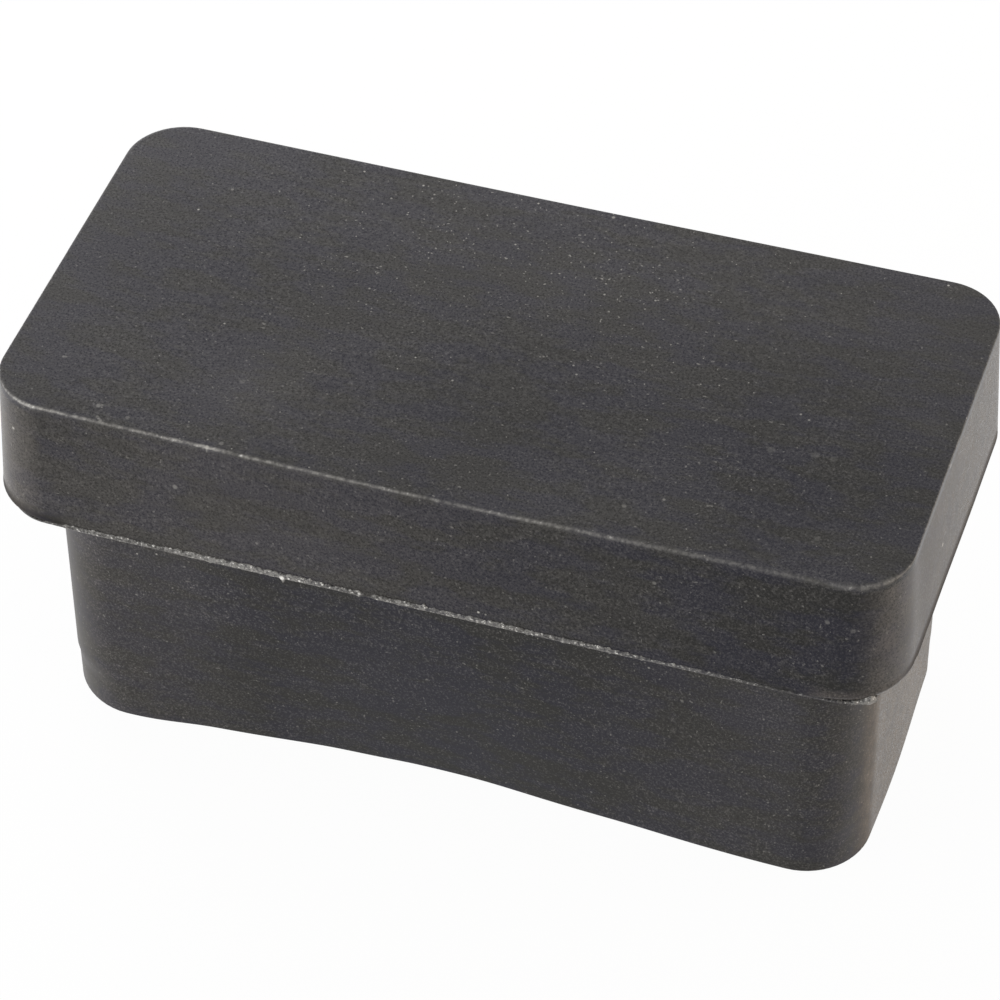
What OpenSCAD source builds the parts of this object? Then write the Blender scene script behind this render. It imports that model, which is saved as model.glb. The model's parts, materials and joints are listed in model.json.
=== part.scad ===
// Rectangular tube insert, moulded in one piece from black rubber.
// A thick drafted head covers the end of a rectangular tube. Below it stands a
// hollow plug that is pressed into the tube, open at its rim. The plug's thin
// walls are held straight by the head and flex towards the rim: the long walls
// bow in and the end walls bow out a little.
// The insert stands on its rim with the head up. The origin is the middle of
// the rim's plane, X runs along the head, Y across it and Z up.

/* [Head] */
// Length of the head at its underside, the outside length of the tube
head_l = 101.6; // [98:0.1:130]
// Width of the head at its underside, the outside width of the tube
head_w = 50.4; // [46:0.1:80]
// Thickness of the head
head_t = 16.2; // [4:0.1:30]
// Corner radius of the head at its underside
head_r = 7.6; // [4:0.1:14]
// Draft of the head's sides, in degrees
head_draft = 3; // [0:0.1:6]
// Radius along the head's top edge
head_edge_r = 0.5; // [0.1:0.1:1.5]

/* [Parting line] */
// How far the moulding flash stands out from the head's underside edge
flash_w = 0.2; // [0.1:0.05:0.5]
// Thickness of the flash
flash_t = 0.3; // [0.1:0.05:1]

/* [Plug] */
// Length of the plug where it meets the head
plug_l = 92.6; // [70:0.1:95]
// Width of the plug where it meets the head
plug_w = 40.7; // [30:0.1:44]
// Depth of the plug below the head
plug_h = 32.9; // [15:0.1:60]
// Corner radius of the plug
plug_r = 7.4; // [5:0.1:12]
// Draft of the plug's outside, in degrees
plug_draft = 0.15; // [0:0.05:1]
// How far the long walls bow in at the rim
long_bow = 2.4; // [0:0.1:4]
// How far the end walls bow out at the rim
end_bow = 0.4; // [0:0.1:1.5]
// Radius along the outer edge of the rim
rim_edge_r = 0.6; // [0.1:0.1:1.5]

/* [Core] */
// Thickness of the plug's walls at the rim
wall_t = 4.6; // [2.5:0.1:7]
// Depth of the hollow, measured from the rim
core_h = 30; // [8:0.1:32]
// Draft of the hollow, in degrees
core_draft = 1.5; // [0:0.1:3]
// Corner radius of the hollow at the rim
core_r = 3.6; // [2:0.1:6]
// Radius where the hollow's walls meet its floor
floor_r = 2.4; // [0.5:0.1:4]

/* [Hidden] */
rubber = [0.25, 0.25, 0.255];
round_fn = 96;         // smoothness of the exact rounds
corner_steps = 7;      // facets round each corner of the plug
long_steps = 16;       // facets along each long wall
end_steps = 6;         // facets along each end wall
level_steps = 6;       // rings up each wall
edge_steps = 3;        // rings round each small radius
seat_h = 1;            // how far the plug's body is let into the head
least_r = 0.4;         // smallest corner radius left by a fillet

// ---- the head: an exact drafted block with rounded corners and top edge ----

corner_x = head_l / 2 - head_r;
corner_y = head_w / 2 - head_r;
// Centre of the top edge's radius, measured from a corner's own axis
edge_z = head_t - head_edge_r;
edge_x = head_r - edge_z * tan(head_draft) - head_edge_r / cos(head_draft);

// Half section of the head out from a corner's axis, with the flash at its foot
module head_section() {
    polygon([
        [0, 0],
        [head_r, 0],
        [edge_x + head_edge_r * cos(head_draft), edge_z + head_edge_r * sin(head_draft)],
        [edge_x, edge_z],
        [edge_x, head_t],
        [0, head_t]
    ]);
    translate([edge_x, edge_z])
        circle(head_edge_r, $fn = round_fn);
    square([head_r + flash_w, flash_t]);
}

// One side of the head: the half section drawn out between two corners
module head_side(length) {
    rotate([90, 0, 0])
        linear_extrude(length, center = true)
            head_section();
}

module head() {
    color(rubber)
        translate([0, 0, plug_h]) {
            for (x = [-corner_x, corner_x], y = [-corner_y, corner_y])
                translate([x, y, 0])
                    rotate_extrude($fn = round_fn)
                        head_section();
            for (turn = [0, 180])
                rotate([0, 0, turn]) {
                    translate([corner_x, 0, 0])
                        head_side(2 * corner_y);
                    rotate([0, 0, 90])
                        translate([corner_y, 0, 0])
                            head_side(2 * corner_x);
                }
            translate([-corner_x, -corner_y, 0])
                cube([2 * corner_x, 2 * corner_y, head_t]);
        }
}

// ---- the plug: one skin lofted down the outside, round the rim and up the core ----

// Points of a quarter turn about a corner's centre
function corner(cx, cy, r, start) = [
    for (i = [0:corner_steps])
        let (a = start + 90 * i / corner_steps)
            [cx + r * cos(a), cy + r * sin(a)]
];

// Points between two ends of a straight wall
function between(a, b, steps) = [for (i = [1:steps - 1]) a + (b - a) * i / steps];

// Rounded rectangle, anticlockwise seen from above
function outline(l, w, r) =
    let (x = l / 2, y = w / 2, cx = l / 2 - r, cy = w / 2 - r)
        concat(
            between([-cx, -y], [cx, -y], long_steps),
            corner(cx, -cy, r, -90),
            between([x, -cy], [x, cy], end_steps),
            corner(cx, cy, r, 0),
            between([cx, y], [-cx, y], long_steps),
            corner(-cx, cy, r, 90),
            between([-x, cy], [-x, -cy], end_steps),
            corner(-cx, -cy, r, 180)
        );

// Squared cosine: one in the middle of a span, falling smoothly to zero at its ends
function bump(d, span) = abs(d) < span / 2 ? pow(cos(180 * d / span), 2) : 0;

// Share of the full bow at a height: none at the head, all of it at the rim
function bow_share(z) = z < plug_h ? 1 - cos(90 * (1 - z / plug_h)) : 0;

// An outline inset from the plug's own, at a height, with its walls bowed
function ring(inset, z, r) =
    let (l = plug_l - 2 * inset, w = plug_w - 2 * inset, s = bow_share(z))
        [for (p = outline(l, w, r)) [
            p.x * (1 + s * end_bow * bump(p.y, plug_w - plug_r) / (l / 2)),
            p.y * (1 - s * long_bow * bump(p.x, plug_l - plug_r) / (w / 2)),
            z
        ]];

// Inset of the outside at a height, from its draft
function outside_inset(z) = max(0, plug_h - z) * tan(plug_draft);

// Inset of the hollow at a height, from the wall at the rim and the core's draft
function core_inset(z) = outside_inset(0) + wall_t + z * tan(core_draft);

// Corner radius left when a corner is inset past its own centre
function inset_r(r, inset) = max(least_r, r - inset);

outside_rings = [
    for (i = [0:level_steps])
        let (z = plug_h + (rim_edge_r - plug_h) * i / level_steps)
            ring(outside_inset(z), z, plug_r)
];

rim_rings = [
    for (i = [1:edge_steps])
        let (a = 90 * i / edge_steps, in = rim_edge_r * (1 - cos(a)))
            ring(outside_inset(0) + in, rim_edge_r * (1 - sin(a)), inset_r(plug_r, in))
];

core_top = core_h - floor_r;
core_rings = [
    for (i = [0:level_steps])
        let (z = core_top * i / level_steps)
            ring(core_inset(z), z, core_r)
];

floor_rings = [
    for (i = [1:edge_steps])
        let (a = 90 * i / edge_steps, in = floor_r * (1 - cos(a)))
            ring(core_inset(core_top) + in, core_top + floor_r * sin(a), inset_r(core_r, in))
];

// Middle point of a ring
function middle(ring) = [0, 0, ring[0].z];

// Closed skin through a list of rings with the same number of points each.
// Each end is closed by a fan of triangles about its middle point.
module skin(rings) {
    n = len(rings[0]);
    last = (len(rings) - 1) * n;
    first_mid = len(rings) * n;
    last_mid = first_mid + 1;
    polyhedron(
        points = concat([for (ring = rings) each ring],
                        [middle(rings[0]), middle(rings[len(rings) - 1])]),
        faces = concat(
            [for (i = [0:n - 1]) [(i + 1) % n, i, first_mid]],
            [for (k = [0:len(rings) - 2], i = [0:n - 1])
                let (a = k * n + i, b = k * n + (i + 1) % n)
                    each [[a, b, b + n], [a, b + n, a + n]]],
            [for (i = [0:n - 1]) [last + i, last + (i + 1) % n, last_mid]]
        )
    );
}

module plug() {
    color(rubber)
        skin(concat([ring(0, plug_h + seat_h, plug_r)],
                    outside_rings, rim_rings, core_rings, floor_rings));
}

module tube_insert() {
    union() {
        head();
        plug();
    }
}

tube_insert();
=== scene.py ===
import json
import math
import bpy
import numpy as np
from mathutils import Matrix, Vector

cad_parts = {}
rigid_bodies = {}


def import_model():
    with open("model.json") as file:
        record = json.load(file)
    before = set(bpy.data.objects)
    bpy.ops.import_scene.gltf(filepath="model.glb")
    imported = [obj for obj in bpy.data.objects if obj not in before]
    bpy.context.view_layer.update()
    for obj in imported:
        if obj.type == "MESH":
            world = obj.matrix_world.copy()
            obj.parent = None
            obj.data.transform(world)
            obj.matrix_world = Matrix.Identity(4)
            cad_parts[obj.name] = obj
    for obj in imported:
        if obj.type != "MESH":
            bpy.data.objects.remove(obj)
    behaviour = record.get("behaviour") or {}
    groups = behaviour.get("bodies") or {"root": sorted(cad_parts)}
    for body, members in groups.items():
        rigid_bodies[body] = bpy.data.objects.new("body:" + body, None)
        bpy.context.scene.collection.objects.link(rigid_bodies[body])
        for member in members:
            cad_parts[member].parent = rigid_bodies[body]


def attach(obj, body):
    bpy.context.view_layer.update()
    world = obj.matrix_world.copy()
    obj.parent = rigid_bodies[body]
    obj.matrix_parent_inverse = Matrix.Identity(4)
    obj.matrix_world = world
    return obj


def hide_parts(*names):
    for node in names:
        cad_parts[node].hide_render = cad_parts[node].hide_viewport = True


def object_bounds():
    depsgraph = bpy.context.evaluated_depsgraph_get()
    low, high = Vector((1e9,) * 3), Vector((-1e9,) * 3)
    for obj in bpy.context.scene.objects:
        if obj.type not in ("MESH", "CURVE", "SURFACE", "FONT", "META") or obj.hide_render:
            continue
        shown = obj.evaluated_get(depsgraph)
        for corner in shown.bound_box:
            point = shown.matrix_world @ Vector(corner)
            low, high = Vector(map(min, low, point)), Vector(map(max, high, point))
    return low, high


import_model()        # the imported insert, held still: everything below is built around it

mm = 0.001
scene = bpy.context.scene
cadLow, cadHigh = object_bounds()

# what every vertex tells the rubber material
wearAndPaintedLightLayers = [
    "scuffAndHighlightShare",          # how strongly it is scuffed and painted with a highlight
    "paleAndPaintedLightShare",         # how much paler it is: painted sheen on the corners, painted light on the right end and under its front corner, paler by place along the sides
    "toneShift",         # how much lighter or, below zero, darker the rubber is
    "paintedShadeShare",        # how much painted shade darkens and dulls it
    "dullShare",         # how much rougher it is
    "dustShare",         # how much dust lies on it
]


def meshPiece(name, points, faces, material, wearAndPaintedLight):
    # points in mm, shape (n, 3); faces are a list of index arrays, one array for each kind of face;
    # a wear or painted light and shade layer that isn't given is zero all over
    mesh = bpy.data.meshes.new(name)
    corners = np.concatenate([kind.ravel() for kind in faces]).astype(np.int32)
    sizes = np.concatenate([np.full(len(kind), kind.shape[1]) for kind in faces]).astype(np.int32)
    starts = np.concatenate([[0], np.cumsum(sizes)[:-1]]).astype(np.int32)
    mesh.vertices.add(len(points))
    mesh.vertices.foreach_set("co", (points * mm).astype(np.float32).ravel())
    mesh.loops.add(len(corners))
    mesh.loops.foreach_set("vertex_index", corners)
    mesh.polygons.add(len(sizes))
    mesh.polygons.foreach_set("loop_start", starts)
    mesh.polygons.foreach_set("loop_total", sizes)
    mesh.polygons.foreach_set("use_smooth", np.ones(len(sizes), bool))
    for layerName in wearAndPaintedLightLayers:
        values = np.broadcast_to(wearAndPaintedLight.get(layerName, 0.0), len(points))
        layer = mesh.attributes.new(layerName, "FLOAT", "POINT")
        layer.data.foreach_set("value", values.astype(np.float32))
    mesh.update(calc_edges=True)
    mesh.validate()
    mesh.materials.append(material)
    piece = bpy.data.objects.new(name, mesh)
    scene.collection.objects.link(piece)
    return piece


def ringAround(longSteps, endSteps, cornerSteps):
    # The outline of a rounded box as four arrays u, v, nx, ny, so that any ring of half length a,
    # half width b and corner radius r is x = (a - r) u + r nx and y = (b - r) v + r ny.
    # Each side runs straight with its normal held, and each corner turns its normal a quarter turn.
    parts = []
    sides = [(-1, -1, 1, -1, longSteps), (1, -1, 1, 1, endSteps),
             (1, 1, -1, 1, longSteps), (-1, 1, -1, -1, endSteps)]
    for number, (u0, v0, u1, v1, steps) in enumerate(sides):
        facing = math.radians(90 * number - 90)
        t = np.linspace(0, 1, steps, endpoint=False)
        turn = facing + np.linspace(0, math.pi / 2, cornerSteps, endpoint=False)
        parts.append([u0 + (u1 - u0) * t, v0 + (v1 - v0) * t,
                      np.full(steps, math.cos(facing)), np.full(steps, math.sin(facing))])
        parts.append([np.full(cornerSteps, u1), np.full(cornerSteps, v1), np.cos(turn), np.sin(turn)])
    return [np.concatenate([part[k] for part in parts]) for k in range(4)]


def stripFaces(rows, columns, closedRows=False):
    # quads between neighbouring rows of a grid whose columns close on themselves
    row = np.arange(rows if closedRows else rows - 1)[:, None]
    column = np.arange(columns)[None, :]
    below = (row + 1) % rows
    beside = (column + 1) % columns
    quads = [row * columns + column, row * columns + beside,
             below * columns + beside, below * columns + column]
    return np.stack([np.broadcast_to(q, (len(row), columns)) for q in quads], axis=-1).reshape(-1, 4)


def ease(t):
    # smooth step: 3 t squared less 2 t cubed, held at 0 and 1 outside
    t = np.clip(t, 0, 1)
    return t * t * (3 - 2 * t)


def fade(value, start, over):
    # smooth step from zero at a start to one after a distance
    return ease((value - start) / over)


def hump(distance, span):
    # squared cosine: one in the middle of a span, zero at and past its ends
    return np.where(np.abs(distance) < span / 2, np.cos(np.pi * distance / span) ** 2, 0)


def loopNoise(turn, rng, lowest, highest, count):
    # Sum of sines round a closed loop, whole waves only, scaled to about -1 to 1; turn runs 0 to 1
    waves = rng.integers(lowest, highest, count)
    phases = rng.uniform(0, 2 * math.pi, count)
    heights = rng.uniform(0.4, 1, count)
    angles = 2 * math.pi * waves[:, None] * turn[None, :] + phases[:, None]
    total = (heights[:, None] * np.sin(angles)).sum(0)
    return total / (heights.sum() * 0.55)


class Wire:
    # one output socket, with arithmetic on it; any other node comes from make()
    def __init__(self, tree, socket):
        self.tree = tree
        self.socket = socket

    def make(self, kind, settings=None, values=None, out=0):
        node = self.tree.nodes.new(kind)
        for key, value in (settings or {}).items():
            setattr(node, key, value)
        for key, value in (values or {}).items():
            if isinstance(value, Wire):
                self.tree.links.new(value.socket, node.inputs[key])
            else:
                node.inputs[key].default_value = value
        return Wire(self.tree, node.outputs[out])

    def other(self, out):                                # another output of the same node
        return Wire(self.tree, self.socket.node.outputs[out])

    def math(self, operation, *others):
        return self.make("ShaderNodeMath", {"operation": operation}, dict(enumerate((self,) + others)))

    def __add__(self, other):
        return self.math("ADD", other)

    def __radd__(self, other):
        return self.math("ADD", other)

    def __sub__(self, other):
        return self.math("SUBTRACT", other)

    def __rsub__(self, other):                           # this times -1, plus the other
        return self.math("MULTIPLY_ADD", -1.0, other)

    def __mul__(self, other):
        return self.math("MULTIPLY", other)

    def __rmul__(self, other):
        return self.math("MULTIPLY", other)

    def __rpow__(self, base):
        return self.make("ShaderNodeMath", {"operation": "POWER"}, {0: base, 1: self})

    def orMore(self, other):                             # the larger of the two
        return self.math("MAXIMUM", other)

    def orLess(self, other):                             # the smaller of the two
        return self.math("MINIMUM", other)

    def step(self, low, high, bottom=0.0, top=1.0):      # smooth step between two levels
        return self.make("ShaderNodeMapRange", {"interpolation_type": "SMOOTHSTEP"}, {
            "Value": self, "From Min": low, "From Max": high, "To Min": bottom, "To Max": top})

    def mix(self, first, second):                        # colours first and second by this factor
        return self.make("ShaderNodeMix", {"data_type": "RGBA"}, {0: self, 6: first, 7: second}, 2)

    def tinted(self, colour):                            # this number, as strength of a colour
        return self.make("ShaderNodeVectorMath", {"operation": "SCALE"}, {0: colour, "Scale": self})

    def plus(self, other):                               # two colours added, never below black
        total = self.make("ShaderNodeVectorMath", {"operation": "ADD"}, {0: self, 1: other})
        return total.make("ShaderNodeVectorMath", {"operation": "MAXIMUM"}, {0: total, 1: (0.0, 0.0, 0.0)})

    def axis(self, number):                              # one of a vector's three numbers
        return self.make("ShaderNodeSeparateXYZ", None, {"Vector": self}, number)

    def scaled(self, along):                             # squeezed along x, so patterns draw out there
        return self.make("ShaderNodeMapping", None, {"Vector": self, "Scale": (along, 1, 1)})

    def attribute(self, name):                           # one of the mesh's wear and painted light and shade layers
        return self.make("ShaderNodeAttribute", {"attribute_name": name}, None, 2)

    def noise(self, size, detail, roughness, shift=0.0):     # grain of a size in mm, 0 to 1
        place = self.make("ShaderNodeMapping", None, {"Vector": self, "Location": (shift, shift, shift)})
        return self.make("ShaderNodeTexNoise", None, {
            "Vector": place, "Scale": 1 / (size * mm), "Detail": detail, "Roughness": roughness})

    def specks(self, spacing, radius, share):            # round specks sown at random, a share of them kept
        cells = self.make("ShaderNodeTexVoronoi", None, {
            "Vector": self, "Scale": 1 / (spacing * mm)}, "Distance")
        chance = cells.other("Color").axis(0)
        kept = (share - chance).step(0.0, 0.25, 0.0, 0.9)
        return cells.step(0.4 * radius / spacing, radius / spacing, 1.0, 0.0) * kept

    def marks(self, marks, axes):                        # placed specks, seen along the third axis
        seen = [1.0 * (axis in axes) for axis in range(3)]
        flat = self.make("ShaderNodeVectorMath", {"operation": "MULTIPLY"}, {0: self, 1: seen})
        total = None
        for across, up, radius, strength in marks:
            spot = [0.0, 0.0, 0.0]
            spot[axes[0]] = across * mm
            spot[axes[1]] = up * mm
            away = self.make("ShaderNodeVectorMath", {"operation": "DISTANCE"}, {0: flat, 1: spot}, "Value")
            mark = away.step(radius * 0.6 * mm, radius * 1.5 * mm, strength, 0.0)
            total = mark if total is None else total.orMore(mark)
        return total

    def seenDirect(self):                                # one for the camera, a gloss or a glass, else zero
        camera = self.make("ShaderNodeLightPath", None, None, "Is Camera Ray")
        return (camera + camera.other("Is Glossy Ray")).orMore(camera.other("Is Transmission Ray"))


def emptyTree(owner, outputKind):
    # the nodes of a material or the world, cleared down to a new output
    owner.use_nodes = True
    tree = owner.node_tree
    tree.nodes.clear()
    return tree, tree.nodes.new(outputKind)


def newMaterial(name):
    material = bpy.data.materials.new(name)
    tree, output = emptyTree(material, "ShaderNodeOutputMaterial")
    start = tree.nodes.new("ShaderNodeTexCoord")
    return material, tree, output, Wire(tree, start.outputs["Object"])


# Black moulded rubber. Sizes are in mm, and depths are in doublings of the colour.
rubberLook = {
    # plain rubber, and the two tints that are added to it in drawn-out patches
    "plain": (0.0214, 0.0206, 0.0200),
    "olive": (0.0012, 0.0009, -0.0034, 1), "blue": (-0.0004, -0.0008, 0.0074, 1),
    "patchSize": 3.0, "patchStretch": 0.36, "patchEdges": (0.40, 0.60),
    # lighter and darker rubber: fine grain, streaks and wide clouds
    "grainSize": 0.27, "grainDepth": 8.8, "plugGrainDepth": 9.6,
    "streakSize": 1.1, "streakStretch": 0.12, "streakDepth": 1.3,
    "wideSize": 24.0, "wideDepth": 1.2, "darkest": 0.05,
    # paler, browner colour: painted sheen on the corners and painted light on the right end, thinner and
    # thicker in patches
    "pale": (0.098, 0.086, 0.075), "paleGrain": 0.4,
    "palePatch": 2.4, "paleLeast": 0.1, "paleDepth": 1.8,
    # dust: faint smears and round specks, by how dusty the place is
    "dust": (0.42, 0.41, 0.38, 1), "dustSize": 0.36, "dustEdges": (0.775, 0.845), "smear": (0.15, 0.5),
    "speckSpacing": 0.95, "speckRadius": 0.10,
    # pale scuffs and painted highlight along the edges, broken into flecks, the strongest of them painted
    # nearly white as glints
    "scuffAndHighlight": (0.36, 0.35, 0.33, 1), "glint": (0.75, 0.74, 0.71, 1), "glintLow": 0.66, "glintSpan": 0.06,
    "fleckSize": 0.5, "fleckEdges": (0.30, 0.70), "fleckLow": 0.4, "fleckHigh": 1.6,
    # gloss
    "headRoughness": 0.30, "plugRoughness": 0.42, "grainRoughness": 0.3, "scuffAndHighlightRoughness": 0.25,
    "paleRoughness": 0.05, "paleRoughGrain": 1.1, "dullRoughness": 0.28, "paintedShadeRoughness": 0.7,
    "dentStrength": 0.1, "dentDepth": 0.03,
    "ior": 1.33, "sheen": 0.03, "sheenRoughness": 0.5, "sheenTint": (1.0, 0.91, 0.82, 1),
    # specks and smudges on the top, the front and the right end: place, radius and strength; each kind
    # fades in over a span of the axis that it is seen along
    "topSpan": (47.9, 48.3), "frontSpan": (-18, -19), "endSpan": (49, 49.5),
    "topMarks": [
        (-38.79, 10.98, 0.11, 1.0), (-23.53, 22.76, 0.11, 0.9), (-16.50, 22.49, 0.11, 0.9),
        (-14.84, 21.40, 0.10, 0.7), (-16.59, 17.28, 0.10, 0.6), (-29.41, -5.75, 0.10, 0.8),
        (-16.51, 4.43, 0.12, 0.5), (-8.21, -4.47, 0.09, 0.9), (-3.32, -6.68, 0.11, 0.6),
        (-3.41, 23.42, 0.11, 0.9), (-3.71, 16.12, 0.10, 0.9), (4.97, 17.28, 0.09, 0.7),
        (1.49, 12.74, 0.09, 0.6), (2.32, 13.00, 0.10, 0.7), (7.99, 11.18, 0.11, 0.8),
        (14.71, 12.41, 0.09, 0.5), (8.19, -0.62, 0.10, 0.6), (8.92, -1.87, 0.11, 0.6),
        (10.97, -5.96, 0.12, 0.3), (5.18, 23.64, 0.17, 0.6), (43.02, 23.58, 0.12, 1.0),
        (32.92, 11.76, 0.12, 0.3), (13.52, 11.87, 0.11, 0.7), (13.80, 11.98, 0.10, 0.5),
        (-36.43, 15.34, 0.16, 0.35), (4.40, -0.35, 0.11, 0.35), (4.72, -0.21, 0.11, 0.4),
        (5.05, -0.05, 0.10, 0.35), (-36.65, -23.85, 0.16, 0.30), (-36.90, -23.60, 0.16, 0.25),
        (-36.40, -24.05, 0.16, 0.35), (-37.42, -21.99, 0.25, 0.30), (-37.10, -21.85, 0.20, 0.25),
        (-33.85, -22.75, 0.22, 0.22), (-23.12, -23.31, 0.25, 0.20), (-43.81, -16.03, 0.14, 0.35),
        (-43.55, -15.95, 0.14, 0.3), (-24.37, -13.72, 0.30, 0.14), (-24.40, -24.20, 0.15, 1.0),
        (31.73, -7.10, 0.40, 0.10), (36.30, -6.52, 0.40, 0.10), (38.33, -6.51, 0.35, 0.07),
        (19.56, -19.54, 0.22, 0.22), (23.21, -17.44, 0.15, 0.40), (39.79, -18.43, 0.35, 0.08),
        (33.23, -0.93, 0.12, 0.55), (34.29, -1.53, 0.12, 0.50),
    ],
    "frontMarks": [
        (5.5, 34.3, 0.13, 0.9), (6.3, 34.2, 0.10, 0.5), (-46.8, 44.6, 0.14, 0.8), (-28.2, 42.3, 0.25, 0.25),
        (-35.3, 26.2, 0.11, 0.6), (-33.0, 26.8, 0.11, 0.6), (22.8, 26.6, 0.12, 0.5), (42.7, 43.8, 0.24, 0.20),
        (45.4, 43.1, 0.26, 0.15), (24.4, 43.85, 0.20, 0.25),
    ],
    "endMarks": [
        (-6.3, 40.0, 0.20, 0.8), (-3.3, 48.5, 0.22, 0.5), (4.0, 46.0, 0.12, 0.3), (9.5, 43.5, 0.14, 0.3),
    ],
}
# the same rubber on the flash, scuffed and painted with highlights all along, its dust and its marks, on its
# front only, drawn in the glint colour
flashLook = {
    **rubberLook,
    "scuffAndHighlight": (0.215, 0.210, 0.200, 1), "glintLow": 0.61, "fleckSize": 0.36, "fleckLow": 0.1, "fleckHigh": 2.2,
    "dust": rubberLook["glint"], "topMarks": [], "endMarks": [],
    "frontMarks": [(-16.4, 32.95, 0.24, 1.0), (-15.6, 33.1, 0.12, 0.8), (-14.4, 33.1, 0.13, 0.9),
                   (-7.7, 33.2, 0.14, 0.7)],
}


def rubberColour(look, place, grain, onHead, paleAndPaintedLight, scuffAndHighlight, fleck):
    # Near black in two tints, broken up by grain, streaks and clouds, lighter or darker by toneShift and
    # paler by painted sheen and painted light. Scuffs with painted highlights and glints are laid over it,
    # then dust and marks, and painted shade darkens it.
    # painted shade darkens and dulls the rubber under the head's rounds, along the top's back edge and above
    # the fin
    paintedShade = place.attribute("paintedShadeShare")
    tint = place.scaled(look["patchStretch"]).noise(look["patchSize"], detail=3.0, roughness=0.65)
    tint = tint.step(*look["patchEdges"]).mix(look["olive"], look["blue"])
    wide = place.noise(look["wideSize"], detail=1.0, roughness=0.5, shift=0.77)
    drawn = place.scaled(look["streakStretch"])
    streak = drawn.noise(look["streakSize"], detail=2.0, roughness=0.6, shift=0.57)
    depth = onHead * (look["grainDepth"] - look["plugGrainDepth"]) + look["plugGrainDepth"]
    uneven = (wide - 0.5) * look["wideDepth"] + (streak - 0.5) * look["streakDepth"]
    shade = 2 ** ((grain - 0.5) * depth + uneven)
    shade = (shade + place.attribute("toneShift")).orMore(look["darkest"]) * (1 - paintedShade)
    plain = shade.tinted(look["plain"]).plus(tint)
    paler = (shade * look["paleGrain"] + (1 - look["paleGrain"])).tinted(look["pale"])
    scuffWithGlints = fleck.step(look["glintLow"], look["glintLow"] + look["glintSpan"]).mix(look["scuffAndHighlight"], look["glint"])
    dustShare = place.attribute("dustShare")
    least, more = look["smear"]
    dusty = place.noise(look["dustSize"], detail=0.0, roughness=0.5, shift=0.91).step(*look["dustEdges"])
    dusty = dusty * (dustShare * more + least)
    dusty = dusty.orMore(place.specks(look["speckSpacing"], look["speckRadius"], dustShare)) * (1 - paintedShade)
    for kind, axes, seenAlong in [("top", (0, 1), 2), ("front", (0, 2), 1), ("end", (1, 2), 0)]:
        none, full = look[kind + "Span"]
        if look[kind + "Marks"]:
            onFace = place.axis(seenAlong).step(none * mm, full * mm)
            dusty = dusty.orMore(place.marks(look[kind + "Marks"], axes) * onFace)
    return dusty.mix(scuffAndHighlight.mix(paleAndPaintedLight.mix(plain, paler), scuffWithGlints), look["dust"])


def rubberMaterial(name, look):
    # The plug is a little rougher than the head, and scuffs, painted light, painted shade and dull places add
    # to that. Fine grain dents the surface slightly.
    material, tree, output, place = newMaterial(name)
    turn = ledge * mm
    onHead = place.axis(2).step(turn - 0.2 * mm, turn)
    grain = place.noise(look["grainSize"], detail=2.0, roughness=0.8, shift=0.31)
    patches = place.noise(look["palePatch"], detail=2.0, roughness=0.6, shift=0.17)
    # paler colour: painted sheen on the corners and painted light on the right end, in patches
    paleAndPaintedLight = place.attribute("paleAndPaintedLightShare") * (patches * look["paleDepth"] + look["paleLeast"])
    fleck = place.noise(look["fleckSize"], detail=2.0, roughness=0.75, shift=0.43)
    flecks = fleck.step(*look["fleckEdges"], look["fleckLow"], look["fleckHigh"])
    scuffAndHighlight = (place.attribute("scuffAndHighlightShare") * flecks).orLess(1.0)
    rough = onHead * (look["headRoughness"] - look["plugRoughness"]) + look["plugRoughness"]
    rough = rough + (grain - 0.5) * look["grainRoughness"] + scuffAndHighlight * look["scuffAndHighlightRoughness"]
    rough = rough + paleAndPaintedLight * ((grain - 0.5) * look["paleRoughGrain"] + look["paleRoughness"])
    rough = rough + place.attribute("paintedShadeShare") * look["paintedShadeRoughness"]
    rough = rough + place.attribute("dullShare") * look["dullRoughness"]
    normal = place.make("ShaderNodeBump", None, {
        "Strength": look["dentStrength"], "Distance": look["dentDepth"] * mm, "Height": grain})
    shader = place.make("ShaderNodeBsdfPrincipled", None, {
        "Base Color": rubberColour(look, place, grain, onHead, paleAndPaintedLight, scuffAndHighlight, fleck),
        "Roughness": rough, "IOR": look["ior"], "Normal": normal, "Sheen Weight": look["sheen"],
        "Sheen Roughness": look["sheenRoughness"], "Sheen Tint": look["sheenTint"]})
    tree.links.new(shader.socket, output.inputs["Surface"])
    return material


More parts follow.
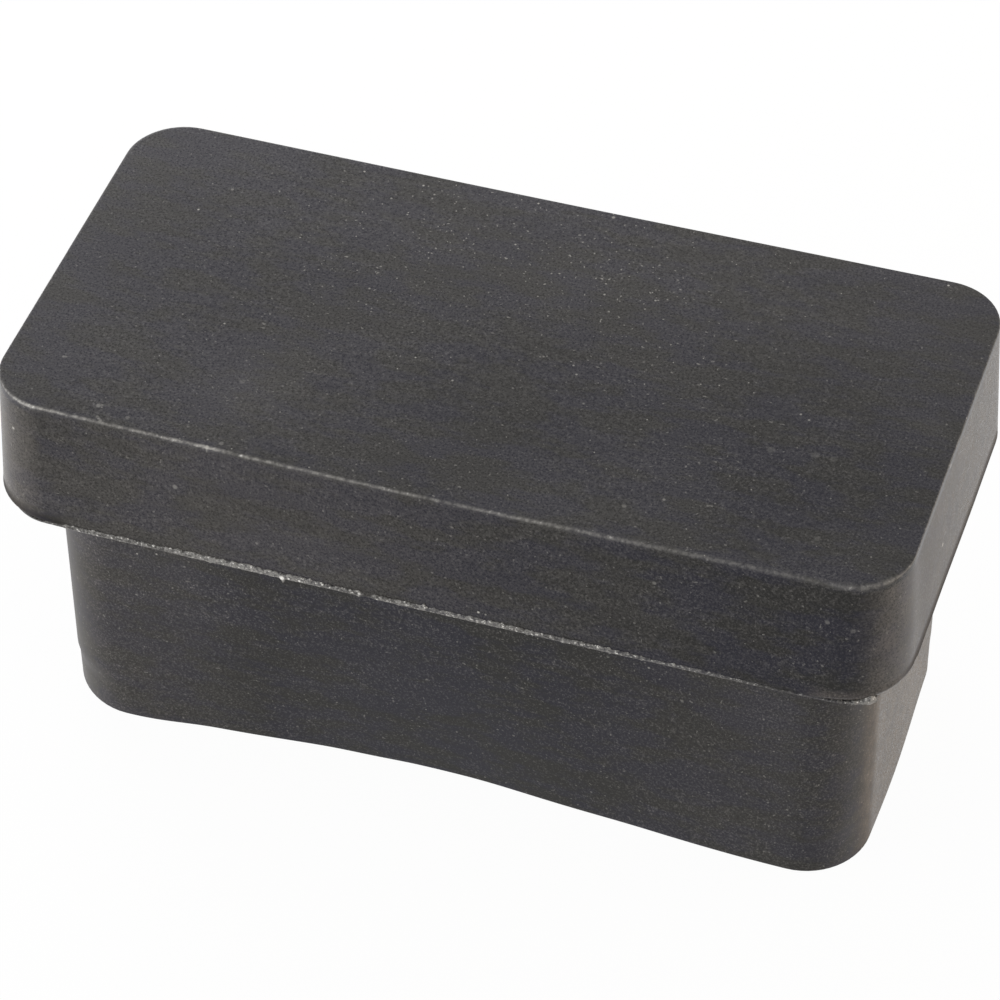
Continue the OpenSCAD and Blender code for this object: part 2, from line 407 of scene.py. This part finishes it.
# The insert itself, one smooth surface. Sizes are in mm, drafts in degrees and wear in shares.
body = {
    "flashReach": 0.2,        # how far the fin stands out past the head; the rest of the box is the head
    "headThick": 16.2, "headCorner": 7.35, "headDraft": 3.0,
    "topRound": 0.36, "topRoundRight": 0.60, "backRound": 0.15,    # the top edge is rounder along the front
    # how much rounder the edge is underneath: at the two front corners, from a place along the front and
    # a place along the ends, and on the right end
    "underRound": 0.12, "leftUnder": 0.65, "rightUnder": 0.95, "endUnder": 0.20,
    "underAlong": 39.5, "underAcross": 14, "underSpan": 6,
    # how far the right end leans in at its underside, at its middle and more towards the front
    "endTuck": 0.06, "endTuckBack": -0.20, "tuckHeight": 7.0, "tuckFrom": 44, "tuckSpan": 5,
    "sinkFront": 0.59, "sinkBack": 0.13,                 # how far the top has sunk along its two long edges
    "plugLength": 92.6, "plugWidth": 40.7, "plugCorner": 7.1, "plugDraft": 0.15, "rootRound": 0.35,
    "longBow": 2.39, "endBow": 0.36, "bowPlace": -2.56, "endBowPlace": -2.5, "rimRound": 0.18,
    # where the front wall's rim strays from that bow: place, span and depth, outward
    "strays": [(-36.0, 17.0, 0.36), (-23.0, 18.0, 0.09), (-9.5, 11.0, 0.08), (12.0, 22.0, 0.20)],
    "rimCorners": [(-1, -1, 0.75), (1, -1, 0.25), (1, 1, 0.5)],    # which corner, and how much rounder
    "wall": 4.6, "coreDepth": 30.0, "coreDraft": 1.5, "coreCorner": 3.6, "lipRound": 0.3, "floorRound": 2.4,
    "ripple": 0.012,
    "longSteps": 170, "endSteps": 76, "cornerSteps": 14,
    # pale line along the head's top edge, scuffs and painted highlight: strength at places along the front,
    # from left to right
    "linePlaces": [-50, -48, -45.5, -41, -37, -33, -24.5, -22, -16, -6, 5, 11, 16, 24, 33, 43, 47.5, 50],
    "lineLevels": [0.06, 0.25, 0.90, 0.55, 0.50, 0.42, 0.80, 0.52, 0.50,
                   0.36, 0.33, 0.40, 0.30, 0.26, 0.22, 0.20, 0.30, 0.2],
    "lineElsewhere": 0.14, "lineEnd": 0.24,
    # paler rubber: painted sheen on the upright corners, paler at places along the sides from left to right,
    # painted light on the right end's head at its front and back and on its plug, and painted light under the
    # right front corner
    "headCornerSheen": 0.36, "plugCornerSheen": 0.10, "rightCornerSheen": 1.3,
    "palerPlaces": [-50, -25, 0, 20, 45],
    "headPaler": [0.08, 0.09, 0.06, 0.01, 0.0],
    "plugPaler": [0.16, 0.05, 0.0, 0.04, 0.06],
    "endPlaces": [-22, 22], "endPaintedLight": [0.35, 0.55], "plugEndPaintedLight": 0.85, "underPaintedLight": 0.5,
    # duller rubber: on the right end's head at places from front to back, and on the plug's corner there
    "dullPlaces": [-24, -14, 22], "endDull": [0.0, 0.50, 0.0], "cornerDull": 1.0,
    # lighter or darker rubber by place from left to right, on the head's and the plug's front
    "tonePlaces": [-50, -42, -30, -22, -5, 11, 20, 29, 38, 44, 47, 50],
    "headTone": [0.24, 0.03, 0.16, 0.32, 0.06, -0.17, -0.22, -0.36, -0.62, -0.75, -0.6, 0.1],
    "plugTone": [0.0, -0.06, -0.08, -0.62, -0.68, -0.92, -0.65, -0.3, -0.12, -0.55, -0.3, 0.0],
    "topToneBack": 0.4, "topToneMiddle": -0.2,
    # soft lighter and darker spots on the top: place, radius in mm, and how much lighter
    "softSpots": [(-23, -15.5, 6.0, 0.62), (46.3, 1.5, 1.6, 0.9), (-38, 2, 8, -0.12), (33, -14, 9, -0.30),
                (-46, -12, 9, 0.12), (6, 20, 12, -0.1)],
    # dust: how much at a place near the top's back edge, elsewhere on the top, and on the sides
    "dustBack": 0.9, "dustTop": 0.22, "dustSides": 0.16, "dustPlace": (-2, 15), "dustSpread": (27, 13),
    # painted shade under the head's grown rounds and along the top's back edge
    "backEdgeShade": 0.8, "underShade": 0.7,
}
# half length and half width of the head's underside, and the heights of the top and of the ledge
headA = cadHigh.x / mm - body["flashReach"]
headB = cadHigh.y / mm - body["flashReach"]
top = cadHigh.z / mm
ledge = top - body["headThick"]


def rings(a, b, r, z, pale=0, growOut=0, growUp=0):
    # Rings of the half section, as rows of half length, half width, corner radius, height, how strongly the
    # edge is scuffed and painted with a highlight (along the back, with painted shade), and how a ring moves
    # out and up when the round of the nearest edge grows
    columns = [np.atleast_1d(np.asarray(column, float)) for column in (a, b, r, z, pale, growOut, growUp)]
    return np.stack(np.broadcast_arrays(*columns), axis=1)


def headRings(s):
    # From the middle of the top over its edge, down the drafted side and in along the ledge to the plug
    draft = math.radians(s["headDraft"])
    slope = math.tan(draft)
    corner = s["headCorner"]
    # top face, then a quarter round that ends square to the drafted side
    edge = s["backRound"]
    inward = 1 / math.cos(draft) - slope
    centre = s["headThick"] * slope + edge * inward
    k = np.concatenate([np.linspace(0.04, 0.95, 16), [0.985, 0.996]])
    face = rings((headA - centre) * k, (headB - centre) * k, (corner - centre) * k, top, 0, -inward * k)
    turn = np.radians(np.linspace(0, 90 - s["headDraft"], 8))
    out = edge * np.sin(turn) - centre
    drop = 1 - np.cos(turn)
    # scuffs and painted highlight across the top edge's round, strongest half way round
    glow = np.exp(-((np.degrees(turn) - 46) / 30) ** 2)
    edgeRound = rings(headA + out, headB + out, corner + out, top - edge * drop, glow,
                      np.sin(turn) - inward, -drop)
    # side, with rings close to both of its edges
    z = top - np.concatenate([[s["topRoundRight"] + 0.08], np.linspace(1.2, s["headThick"] - 2.0, 14)])
    inset = (z - ledge) * slope
    side = rings(headA - inset, headB - inset, corner - inset, z)
    under = s["underRound"]
    inset = (under + 0.15) * slope
    lowest = rings(headA - inset, headB - inset, corner - inset, ledge + under + 0.15, 0, -slope, 1)
    # quarter round at the underside edge, then the ledge and the root of the plug
    turn = np.radians(np.linspace(0, 90, 8))
    inset = under * (1 - np.cos(turn))
    rise = 1 - np.sin(turn)
    underRound = rings(headA - inset, headB - inset, corner - inset, ledge + under * rise, 0,
                       np.cos(turn) - 1, rise)
    plugA, plugB, root = s["plugLength"] / 2, s["plugWidth"] / 2, s["rootRound"]
    t = np.array([0.04, 0.3, 0.65, 0.94])
    ledgeA = headA - under + (plugA + root - headA + under) * t
    ledgeB = headB - under + (plugB + root - headB + under) * t
    flat = rings(ledgeA, ledgeB, corner + (s["plugCorner"] - corner) * t, ledge, 0, -(1 - t) ** 2)
    turn = np.radians(np.linspace(0, 90, 5))
    out = root * (1 - np.sin(turn))
    rootRound = rings(plugA + out, plugB + out, s["plugCorner"] + out, ledge - root * (1 - np.cos(turn)))
    return [face, edgeRound, side, lowest, underRound, flat, rootRound]


def plugRings(s):
    # Down the plug's side, round the rim, over the lip, up the hollow and in to the middle of its floor
    lean = math.tan(math.radians(s["plugDraft"]))
    plugA, plugB, corner = s["plugLength"] / 2, s["plugWidth"] / 2, s["plugCorner"]
    rim, lip = s["rimRound"], s["lipRound"]
    highest = ledge - s["rootRound"] - 0.15
    z = np.concatenate([[highest], np.linspace(ledge - 1.2, rim + 0.8, 26), [rim + 0.12]])
    inset = (ledge - z) * lean
    side = rings(plugA - inset, plugB - inset, corner, z)
    # quarter round of the rim, flat rim, and quarter round of the hollow's lip
    foot = ledge * lean
    turn = np.radians(np.linspace(0, 90, 6))
    drop = rim * (1 - np.cos(turn))
    rimRound = rings(plugA - foot - drop, plugB - foot - drop, corner - drop, rim * (1 - np.sin(turn)))
    t = np.array([0.04, 0.5, 0.96])
    inset = foot + rim + (s["wall"] - rim - lip) * t
    lipR = s["coreCorner"] + lip
    flat = rings(plugA - inset, plugB - inset, corner - rim + (lipR - corner + rim) * t, 0)
    turn = np.radians(np.linspace(0, 90, 5))
    inset = foot + s["wall"] - lip * (1 - np.sin(turn))
    lipRound = rings(plugA - inset, plugB - inset, lipR - lip * np.sin(turn), lip * (1 - np.cos(turn)))
    # drafted walls of the hollow, quarter round into its floor, and the floor
    taper = math.tan(math.radians(s["coreDraft"]))
    inner = s["floorRound"]
    turnIn = s["coreDepth"] - inner
    z = np.concatenate([[lip + 0.15], np.linspace(lip + 1, turnIn - 1, 12), [turnIn - 0.15]])
    inset = foot + s["wall"] + z * taper
    hollow = rings(plugA - inset, plugB - inset, s["coreCorner"], z)
    turn = np.radians(np.linspace(0, 90, 8))
    drop = inner * (1 - np.cos(turn))
    inset = foot + s["wall"] + turnIn * taper + drop
    innerRound = rings(plugA - inset, plugB - inset, s["coreCorner"] - drop, turnIn + inner * np.sin(turn))
    k = np.concatenate([[0.99, 0.96], np.linspace(0.85, 0.05, 7)])
    floorA, floorB = plugA - inset[-1], plugB - inset[-1]
    floor = rings(floorA * k, floorB * k, (s["coreCorner"] - inner) * k, s["coreDepth"])
    return [side, rimRound, flat, lipRound, hollow, innerRound, floor]


def underGrowth(s, u, v, nx, ny):
    # How much rounder the head's underside edge gets: at both front corners, starting a little before
    # them along the front and along the ends, and on the whole of the right end
    x = (headA - s["headCorner"]) * u + s["headCorner"] * nx
    y = (headB - s["headCorner"]) * v + s["headCorner"] * ny
    along = fade(np.abs(x), s["underAlong"], s["underSpan"])
    across = fade(-y, s["underAcross"], s["underSpan"])
    atCorner = along * across * np.where(x < 0, s["leftUnder"], s["rightUnder"])
    return np.maximum(atCorner, s["endUnder"] * fade(nx, 0.2, 0.6) * (x > 0))


def bodySurface(s, section, around):
    # Every ring is a rounded box, laid out by ringAround and stacked along the section. Its edge rounds
    # grow, and then the plug's walls are bowed, the right end is tucked in, the top is sunk and the
    # moulded faces get a slight ripple, always inwards.
    a, b, r, z = section[:4]
    growOut, growUp = section[5:]
    u, v, nx, ny = around
    bowed = z < s["coreDepth"] - 0.01
    share = np.where(z < ledge, 1 - np.cos(np.pi / 2 * (1 - z / ledge)), 0)
    for sideX, sideY, rounder in s["rimCorners"]:
        r = r + rounder * share * ease(2 * sideX * u - 1) * ease(2 * sideY * v - 1) * (z < 5)
    x = (a - r) * u + r * nx
    y = (b - r) * v + r * ny
    # the top edge's round grows from its size at the back to its size at the front, and the underside's
    # round grows by underGrowth
    frontRound = np.interp(x, [-50, 0, 50], [s["topRound"], s["topRound"], s["topRoundRight"]])
    grownTop = (frontRound - s["backRound"]) * fade(-ny, 0.1, 0.6) * (v < 0)
    grown = np.where(z > ledge + 5, grownTop, underGrowth(s, *around))
    z = z + growUp * grown
    x = x + nx * growOut * grown
    y = y + ny * growOut * grown
    # bow: a quarter cosine down the plug, times a squared cosine along each wall
    along = s["longBow"] * hump(x - s["bowPlace"], s["plugLength"] - s["plugCorner"])
    for place, span, depth in s["strays"]:
        along = along - depth * hump(x - place, span) * (y < 0)
    across = s["endBow"] * hump(y - s["endBowPlace"], s["plugWidth"] - s["plugCorner"])
    share = share * bowed
    y = y - np.sign(y) * along * share * np.clip(np.abs(y) / b, 0, 1)
    x = x + np.sign(x) * across * share * np.clip(np.abs(x) / a, 0, 1)
    # tuck: the right end leans in towards its underside
    tuck = (s["endTuck"] + s["endTuckBack"] * y / headB).clip(0, 1) * ease(1 - (z - ledge) / s["tuckHeight"])
    nearEnd = np.clip((np.abs(x) - s["tuckFrom"]) / s["tuckSpan"], 0, 1) * np.clip(nx, 0, 1)
    x = x - tuck * nearEnd * (z > ledge - 0.01)
    # sink: deepest half way along, from its front level to its back level, fading down the head
    level = (s["sinkFront"] + s["sinkBack"]) / 2 - (s["sinkFront"] - s["sinkBack"]) / 2 * y / headB
    sunk = level * hump(x, 2 * headA) * np.clip((z - ledge) / s["headThick"], 0, 1) ** 2
    # ripple: a few crossed sines, only ever inwards
    wave = (np.sin(0.21 * x + 0.9) * np.sin(0.34 * y + 0.13 * z + 2.1)
            + 0.6 * np.sin(0.47 * x - 0.29 * z) * np.sin(0.23 * z + 0.4)) / 1.6
    dip = s["ripple"] * (1 + wave)
    dipSide = dip * ((z > 0.8) & (z < top - 0.6))
    dipTop = dip * (z > top - 0.01)
    return x - nx * dipSide, y - ny * dipSide, z - sunk - dipTop


def bodyWearAndPaintedLight(s, section, around, x, y, z):
    # The wear and painted light and shade layers, each worked out from where a point lies and how it faces
    pale, growOut, growUp = section[4:]
    u, v, nx, ny = around
    onHead = (z > ledge - 0.01) * 1.0
    onPlug = 1 - onHead
    onTop = z > top - 0.8
    onSides = (z < top - 0.7) & (z > 0.01)
    onFront = fade(-ny, 0.3, 0.6) * (v < 0) * onSides
    onEnd = fade(nx, 0.7 + 0.15 * onPlug, 0.3 - 0.15 * onPlug) * (u > 0)
    # the pale line of scuffs and painted highlight: front edge by place, the other edges at one level
    line = s["lineElsewhere"] + (s["lineEnd"] - s["lineElsewhere"]) * fade(nx, 0.5, 0.4) * (u > 0)
    line = line + (np.interp(x, s["linePlaces"], s["lineLevels"]) - line) * fade(-ny, 0.1, 0.5) * (v < 0)
    # paler: painted sheen on the upright corners, paler by place along the sides, and painted light on the
    # right end
    corner = np.abs(2 * nx * ny) ** 0.8 * (s["headCornerSheen"] * onHead + s["plugCornerSheen"] * onPlug)
    corner = corner * np.where((x > 0) & (y < 0), s["rightCornerSheen"] * fade(nx, 0.25, 0.5), 1)
    sidePaler = np.interp(x, s["palerPlaces"], s["headPaler"]) * onHead
    sidePaler = sidePaler + np.interp(x, s["palerPlaces"], s["plugPaler"]) * onPlug
    endPaintedLight = np.interp(y, s["endPlaces"], s["endPaintedLight"]) * onHead + s["plugEndPaintedLight"] * onPlug
    paleAndPaintedLight = np.clip(corner * (1 - onEnd) + sidePaler * np.abs(ny) ** 2 + endPaintedLight * onEnd, 0, 1) * onSides
    # tone: by place along the front, and in soft areas over the top
    tone = np.interp(x, s["tonePlaces"], s["headTone"]) * onHead
    tone = (tone + np.interp(x, s["tonePlaces"], s["plugTone"]) * onPlug) * onFront
    topTone = s["topToneBack"] * fade(y, 2, 14) * fade(x, -30, 22)
    topTone = topTone + s["topToneMiddle"] * fade(x, -15, 20) * hump(y + 7, 26)
    for spotX, spotY, radius, lighter in s["softSpots"]:
        topTone = topTone + lighter * np.exp(-((x - spotX) ** 2 + (y - spotY) ** 2) / radius ** 2)
    tone = tone + topTone * onTop
    # dust: thickest round one place on the top
    dustX, dustY = s["dustPlace"]
    spreadX, spreadY = s["dustSpread"]
    near = np.exp(-((x - dustX) / spreadX) ** 4 - ((y - dustY) / spreadY) ** 2)
    dust = np.where(onTop, s["dustTop"] + (s["dustBack"] - s["dustTop"]) * near, s["dustSides"])
    # painted shade: on the grown rounds under the head and as a dark line along the top's back edge; near the
    # right front corner the rounds under the head get painted light instead
    onUnder = ((growUp != 0) | (growOut != 0)) & (z < ledge + 5)
    under = np.clip(underGrowth(s, *around) * 5, 0, 1) * onUnder
    rightCorner = fade(x, 38, 6) * fade(-y, 17, 4)
    paleAndPaintedLight = np.maximum(paleAndPaintedLight, under * rightCorner * s["underPaintedLight"])
    backEdge = (1 - fade(-ny, -0.1, 0.3)) * pale * (v > 0)
    paintedShade = np.clip(under * (1 - rightCorner) * s["underShade"] + backEdge * s["backEdgeShade"], 0, 1)
    # dull: the right end's head, and the plug's corner next to it
    dull = np.interp(y, s["dullPlaces"], s["endDull"]) * onEnd * onHead
    plugCorner = fade(nx, 0.8, 0.2) * fade(-y, 11.5, 3) * (x > 0) * onPlug
    dull = (dull + s["cornerDull"] * plugCorner) * onSides
    return {"scuffAndHighlightShare": pale * line, "paleAndPaintedLightShare": paleAndPaintedLight, "toneShift": tone, "paintedShadeShare": paintedShade,
            "dullShare": dull, "dustShare": dust}


def makeBody(s, material):
    # The stacked rings, closed by a fan in the middle of the top and one in the middle of the hollow's floor
    section = np.concatenate(headRings(s) + plugRings(s)).T[:, :, None]
    around = np.array(ringAround(s["longSteps"], s["endSteps"], s["cornerSteps"]))[:, None, :]
    x, y, z = bodySurface(s, section, around)
    wearAndPaintedLight = bodyWearAndPaintedLight(s, section, around, x, y, z)
    count, width = x.shape
    points = np.stack([x, y, z], axis=-1).reshape(-1, 3)
    points = np.vstack([points, [0, 0, z[0].mean()], [0, 0, z[-1].mean()]])
    wearAndPaintedLight = {layer: np.concatenate([values.ravel(), [0, 0]]) for layer, values in wearAndPaintedLight.items()}
    ring = np.arange(width)
    following = (ring + 1) % width
    last = (count - 1) * width
    topMiddle, floorMiddle = np.full(width, count * width), np.full(width, count * width + 1)
    quads = stripFaces(count, width)[:, ::-1]
    topFan = np.stack([ring, following, topMiddle], axis=1)
    floorFan = np.stack([last + following, last + ring, floorMiddle], axis=1)
    return meshPiece("insertBody", points, [quads, topFan, floorFan], material, wearAndPaintedLight)


# The moulding flash, a thin torn fin under the head's edge
flash = {
    "height": 0.70, "reach": 0.17, "hang": 0.07, "steps": 2600, "seed": 11,
    # strength of the fin along the front edge, from left to right, and along the other edges
    "places": [-50, -44, -38, -30, -27, -21, -16, -12.5, -10, -7.6, -7.1, -6.5, -6.0,
               2, 10, 14, 19, 24, 30, 36, 39, 43, 46, 47.6, 48.4, 50],
    "levels": [0.03, 0.30, 0.72, 0.60, 1.00, 1.10, 1.05, 0.68, 0.65, 0.65, 0.08, 0.08, 0.70,
               0.75, 0.70, 0.55, 0.68, 0.42, 0.42, 0.20, 0.14, 0.28, 0.60, 1.00, 0.12, 0.03],
    "elsewhere": 0.22, "rightEnd": 0.03,
    # where the head's edge is rounder: how far in along the round the fin stands, all of it where the fin
    # is weaker than a level, and how much lower and further out it gets
    "tuckedIn": 0.55, "weakLevel": 0.3, "grownLower": 0.75, "grownOut": 0.40,
    # painted shade in the gap above the fin, by place from left to right
    "gapPlaces": [-50, -45, -37, -30, 30, 38, 48, 50],
    "gapLevels": [0.6, 1.0, 0.9, 0.25, 0.3, 0.35, 0.3, 0.1],
    # unevenness: the fewest and most waves round the loop, and how many of them are summed
    "roughWaves": (300, 900, 40), "lumpWaves": (90, 300, 30), "slowWaves": (8, 60, 14),
    "hangWaves": (200, 700, 30),
    # nibs standing from the fin: place along and across, how far down, up and out, and width
    "nibs": [(-16.3, -25.2, 0.65, 0.0, 0.0, 0.40), (-24.5, -25.2, 0.16, 0.1, 0.0, 0.4),
             (-7.8, -25.2, 0.2, 0.15, 0.0, 0.3), (-3.3, -25.2, 0.1, 0.1, 0.0, 0.3),
             (-0.5, -25.2, 0.0, 0.35, 0.0, 0.3), (10.9, -25.2, 0.2, 0.1, 0.0, 0.3),
             (14.8, -25.2, 0.15, 0.0, 0.0, 0.3), (19.9, -25.2, 0.15, 0.15, 0.0, 0.3),
             (23.4, -25.2, 0.1, 0.15, 0.0, 0.25), (26.9, -25.2, 0.0, 0.2, 0.0, 0.25),
             (-37.9, -25.2, 0.1, 0.15, 0.0, 0.35), (47.6, -23.95, 0.40, 0.75, 0.60, 1.4),
             (46.1, -24.7, 0.1, 0.15, 0.15, 0.5)],
    # how pale the fin is: scuffs and painted highlight, more at its nibs, and the most
    "finScuffAndHighlight": 0.74, "nibHighlight": 0.6, "mostScuffAndHighlight": 1.3,
    # the fin's section, point by point from its inner top: outward in mm and as a share of the reach,
    # then upward in mm and as shares of the height and the hang
    "section": [(-0.45, 0, 0.02, 0, 0), (-0.10, 0, 0, 1, 0), (0, 0.55, 0, 0.95, 0), (0, 0.95, 0, 0.62, 0),
                (0, 1, 0, 0.10, 0), (0, 0.6, 0, 0, -1), (-0.12, 0, 0, 0, -0.4)],
    "inGap": [1, 1, 0, 0, 0, 0, 0],      # which of those points lie in the gap above the fin
}


def makeFlash(s, bodySizes, material):
    # A thin fin carried round the head's underside edge: a closed seven-sided section in the plane of
    # the edge's normal, whose reach, height and hang vary round the loop by sums of sines.
    corner = bodySizes["headCorner"]
    longRun, endRun, turnRun = 2 * (headA - corner), 2 * (headB - corner), math.pi / 2 * corner
    perStep = s["steps"] / (2 * longRun + 2 * endRun + 4 * turnRun)
    u, v, nx, ny = ringAround(round(longRun * perStep), round(endRun * perStep), round(turnRun * perStep))
    count = len(u)
    x = (headA - corner) * u + corner * nx
    y = (headB - corner) * v + corner * ny
    front = fade(-ny, 0.05, 0.6) * (v < 0)
    level = s["elsewhere"] + (s["rightEnd"] - s["elsewhere"]) * fade(nx, 0.3, 0.5) * (u > 0)
    level = level + (np.interp(x, s["places"], s["levels"]) - level) * front
    rng = np.random.default_rng(s["seed"])
    turn = np.arange(count) / count
    rough = loopNoise(turn, rng, *s["roughWaves"])
    lumps = loopNoise(turn, rng, *s["lumpWaves"])
    slow = loopNoise(turn, rng, *s["slowWaves"])
    hanging = loopNoise(turn, rng, *s["hangWaves"])
    # where the head's edge is rounder the fin stands towards the foot of the round, flatter and further out
    grown = underGrowth(bodySizes, u, v, nx, ny)
    inset = grown * (s["tuckedIn"] + (1 - s["tuckedIn"]) * ease(1 - level / s["weakLevel"]))
    height = s["height"] * np.clip(level, 0, 1.1) ** 0.5 * (1 + 0.16 * rough + 0.32 * lumps + 0.14 * slow)
    height = height * (1 - s["grownLower"] * np.clip(grown, 0, 1))
    reach = s["reach"] * np.clip(level, 0, 1) * (1 + 0.25 * rough + 0.20 * lumps + 0.15 * slow)
    reach = reach + s["grownOut"] * grown * np.clip(4 * level, 0, 1)
    hang = s["hang"] * level * (1 + 0.8 * hanging)
    nib = np.zeros(count)
    for along, across, down, up, out, width in s["nibs"]:
        shape = np.exp(-(np.hypot(x - along, y - across) / (width / 2)) ** 1.6)
        hang = hang + down * shape
        height = height + up * shape
        reach = reach + out * shape
        nib = np.maximum(nib, shape)
    reach = np.clip(reach, 0.0, bodySizes["flashReach"] - 0.01 + inset)
    x = x - inset * nx
    y = y - inset * ny
    out, reachShare, up, heightShare, hangShare = np.array(s["section"]).T[:, :, None]
    outward = out + reachShare * reach
    upward = up + heightShare * height + hangShare * hang
    points = np.stack([x + nx * outward, y + ny * outward, ledge + upward], axis=-1).reshape(-1, 3)
    # the fin is scuffed and painted with a highlight where it is strong, painted highlights mark its nibs,
    # and painted shade darkens the gap above it
    finScuffAndHighlight = level * (s["finScuffAndHighlight"] + 0.25 * rough + 0.20 * lumps) + s["nibHighlight"] * nib
    finScuffAndHighlight = np.clip(finScuffAndHighlight, 0.0, s["mostScuffAndHighlight"])
    gap = np.interp(x, s["gapPlaces"], s["gapLevels"]) * front * np.array(s["inGap"])[:, None]
    faces = stripFaces(len(outward), count, closedRows=True)[:, ::-1]
    wearAndPaintedLight = {"scuffAndHighlightShare": (finScuffAndHighlight * (1 - gap)).ravel(), "paintedShadeShare": gap.ravel()}
    return meshPiece("partingFlash", points, [faces], material, wearAndPaintedLight)


# Floor, light and camera. Lamps and camera are placed in mm and the floor in metres.
setting = {
    "floorSize": 3.0, "floorWhite": 0.94, "floorGlow": 0.96,
    "skyLight": 0.55, "lampAim": 25,
    "camera": {"place": (111.08, -332.57, 362.94), "azimuth": 18.531, "elevation": 43.859, "roll": -0.596,
               "lens": 158.9, "sensor": 36.0, "near": 0.01, "far": 20},
    # name, azimuth and elevation in degrees, distance in mm, size in mm, power in watts, colour
    "lamps": [
        ("backLeftPanel", 216, 12, 600, (420, 300), 3.3, (1.0, 0.98, 1.0)),
        ("leftPanel", 296, 12, 600, (800, 300), 3.35, (1.0, 0.985, 0.97)),
        ("rightPanel", 104, 12, 600, (800, 300), 2.55, (1.0, 0.86, 0.72)),
    ],
}


def grey(level):
    return (level, level, level, 1)


def makeFloor(s):
    # Seen directly or in a gloss the floor is mostly plain white, and the rest of it is lit, so it
    # keeps the insert's shadow. It is clear from below.
    half = s["floorSize"] / 2
    corners = [(-half, -half, 0), (half, -half, 0), (half, half, 0), (-half, half, 0)]
    mesh = bpy.data.meshes.new("studioFloor")
    mesh.from_pydata(corners, [], [(0, 1, 2, 3)])
    floor = bpy.data.objects.new("studioFloor", mesh)
    scene.collection.objects.link(floor)
    material, tree, output, place = newMaterial("studioWhite")
    lit = place.make("ShaderNodeBsdfDiffuse", None, {"Color": grey(s["floorWhite"])})
    glow = place.make("ShaderNodeEmission", None, {"Color": grey(1.0), "Strength": 1.0})
    above = place.make("ShaderNodeMixShader", None, {0: place.seenDirect() * s["floorGlow"], 1: lit, 2: glow})
    below = place.make("ShaderNodeNewGeometry", None, None, "Backfacing")
    clear = place.make("ShaderNodeBsdfTransparent")
    shader = place.make("ShaderNodeMixShader", None, {0: below, 1: above, 2: clear})
    tree.links.new(shader.socket, output.inputs["Surface"])
    mesh.materials.append(material)


def makeWorld(s):
    # plain white where it is seen directly, and dimmer as a light
    world = bpy.data.worlds.new("studioSky")
    scene.world = world
    tree, output = emptyTree(world, "ShaderNodeOutputWorld")
    strength = Wire(tree, None).seenDirect() * (1 - s["skyLight"]) + s["skyLight"]
    sky = strength.make("ShaderNodeBackground", None, {"Color": grey(1.0), "Strength": strength})
    tree.links.new(sky.socket, output.inputs["Surface"])


def makeLamps(s):
    # each lamp stands at an azimuth, turned from the front towards the right, and faces the insert
    for name, azimuth, elevation, distance, size, power, colour in s["lamps"]:
        lamp = bpy.data.lights.new(name, "AREA")
        lamp.shape = "RECTANGLE"
        lamp.size = size[0] * mm
        lamp.size_y = size[1] * mm
        lamp.energy = power
        lamp.color = colour
        holder = bpy.data.objects.new(name, lamp)
        scene.collection.objects.link(holder)
        turn = math.radians(azimuth)
        rise = math.radians(elevation)
        level = distance * math.cos(rise)
        spot = (level * math.sin(turn), -level * math.cos(turn), s["lampAim"] + distance * math.sin(rise))
        holder.location = [q * mm for q in spot]
        holder.rotation_euler = (math.pi / 2 - rise, 0, turn)


def makeCamera(s):
    camera = bpy.data.cameras.new("camera")
    camera.lens = s["lens"]
    camera.sensor_width = s["sensor"]
    camera.clip_start = s["near"]
    camera.clip_end = s["far"]
    holder = bpy.data.objects.new("camera", camera)
    scene.collection.objects.link(holder)
    holder.location = [q * mm for q in s["place"]]
    turn = Matrix.Rotation(math.radians(s["azimuth"]), 3, "Z")
    tilt = Matrix.Rotation(math.radians(90 - s["elevation"]), 3, "X")
    roll = Matrix.Rotation(math.radians(s["roll"]), 3, "Z")
    holder.rotation_euler = (turn @ tilt @ roll).to_euler()
    scene.camera = holder


scene.view_settings.view_transform = "Standard"
makeCamera(setting["camera"])
makeWorld(setting)
makeLamps(setting)
makeFloor(setting)
print("stage: camera, lamps and floor are set")

rubber = rubberMaterial("mouldedRubber", rubberLook)
insertBody = makeBody(body, rubber)
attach(insertBody, "root")
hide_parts("tube_insert")
print("body:", len(insertBody.data.vertices), "vertices")

# the flash's rubber, with scuffs, painted highlights and painted glints
scuffedHighlightedRubber = rubberMaterial("scuffedHighlightedRubber", flashLook)
partingFlash = makeFlash(flash, body, scuffedHighlightedRubber)
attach(partingFlash, "root")
print("flash:", len(partingFlash.data.vertices), "vertices")
